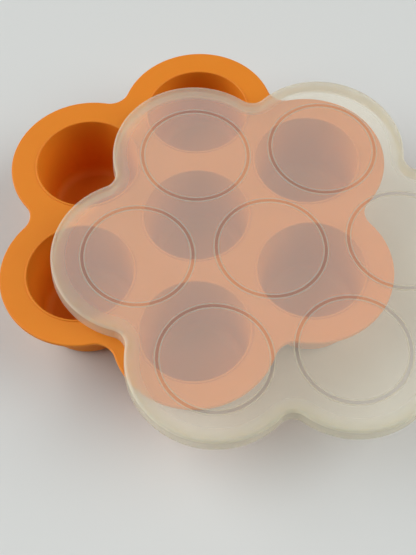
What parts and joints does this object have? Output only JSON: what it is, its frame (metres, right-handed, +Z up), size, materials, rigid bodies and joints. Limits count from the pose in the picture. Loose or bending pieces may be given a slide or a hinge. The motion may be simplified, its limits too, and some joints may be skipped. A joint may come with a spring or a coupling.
{
  "type": "baby food freezer tray",
  "caption": "Flower-shaped silicone freezer tray with round tapered cups for portions of baby food, and a milky lift-off lid lying askew on it.",
  "frame": {"origin": "middle of the base of the middle cup, on the surface the tray stands on", "axes": "+Z up, +Y towards one of the outer cups, at the back; +X to the right, towards the side where the lid hangs over"},
  "size_m": [0.2429, 0.2317, 0.0555],
  "materials": {
    "tray_silicone": "satin moulded silicone",
    "lid_silicone": "milky translucent moulded silicone"
  },
  "bodies": {
    "tray": {"tray": "tray_silicone"},
    "lid": {"lid": "lid_silicone"}
  },
  "joints": [
    {"name": "lid_lift", "type": "slide", "parent": "tray", "child": "lid", "axis": [0, 0, 1], "range_m": [0, 0.08]}
  ]
}
